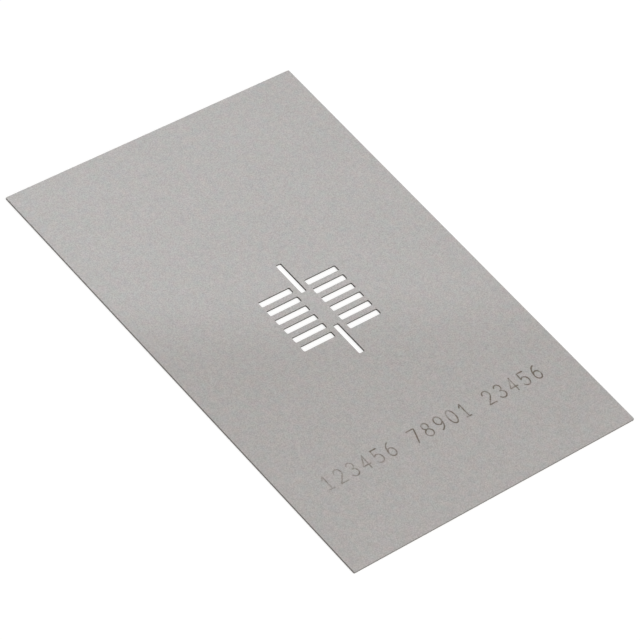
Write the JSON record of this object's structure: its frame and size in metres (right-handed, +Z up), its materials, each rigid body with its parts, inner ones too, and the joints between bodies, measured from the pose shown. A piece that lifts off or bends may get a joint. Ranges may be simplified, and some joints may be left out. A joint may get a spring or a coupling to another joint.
{
  "type": "solder paste stencil",
  "caption": "Flat stainless steel sheet with laser-cut openings that lets solder paste through onto the pads of one small surface-mount component.",
  "frame": {"origin": "middle of the sheet, on its board side, which is the face that it lies on", "axes": "+X across the sheet, +Y along it away from the etched digits, +Z up out of the face that paste is wiped over"},
  "size_m": [0.0228, 0.033, 0.0001],
  "materials": {
    "steel": "matt cold-rolled stainless steel with a fine even grain, and darker laser-cut edges",
    "etched_mark": "surface darkened to a faint brown by a marking laser"
  },
  "bodies": {
    "root": {"stencil_sheet": "steel"}
  },
  "joints": []
}
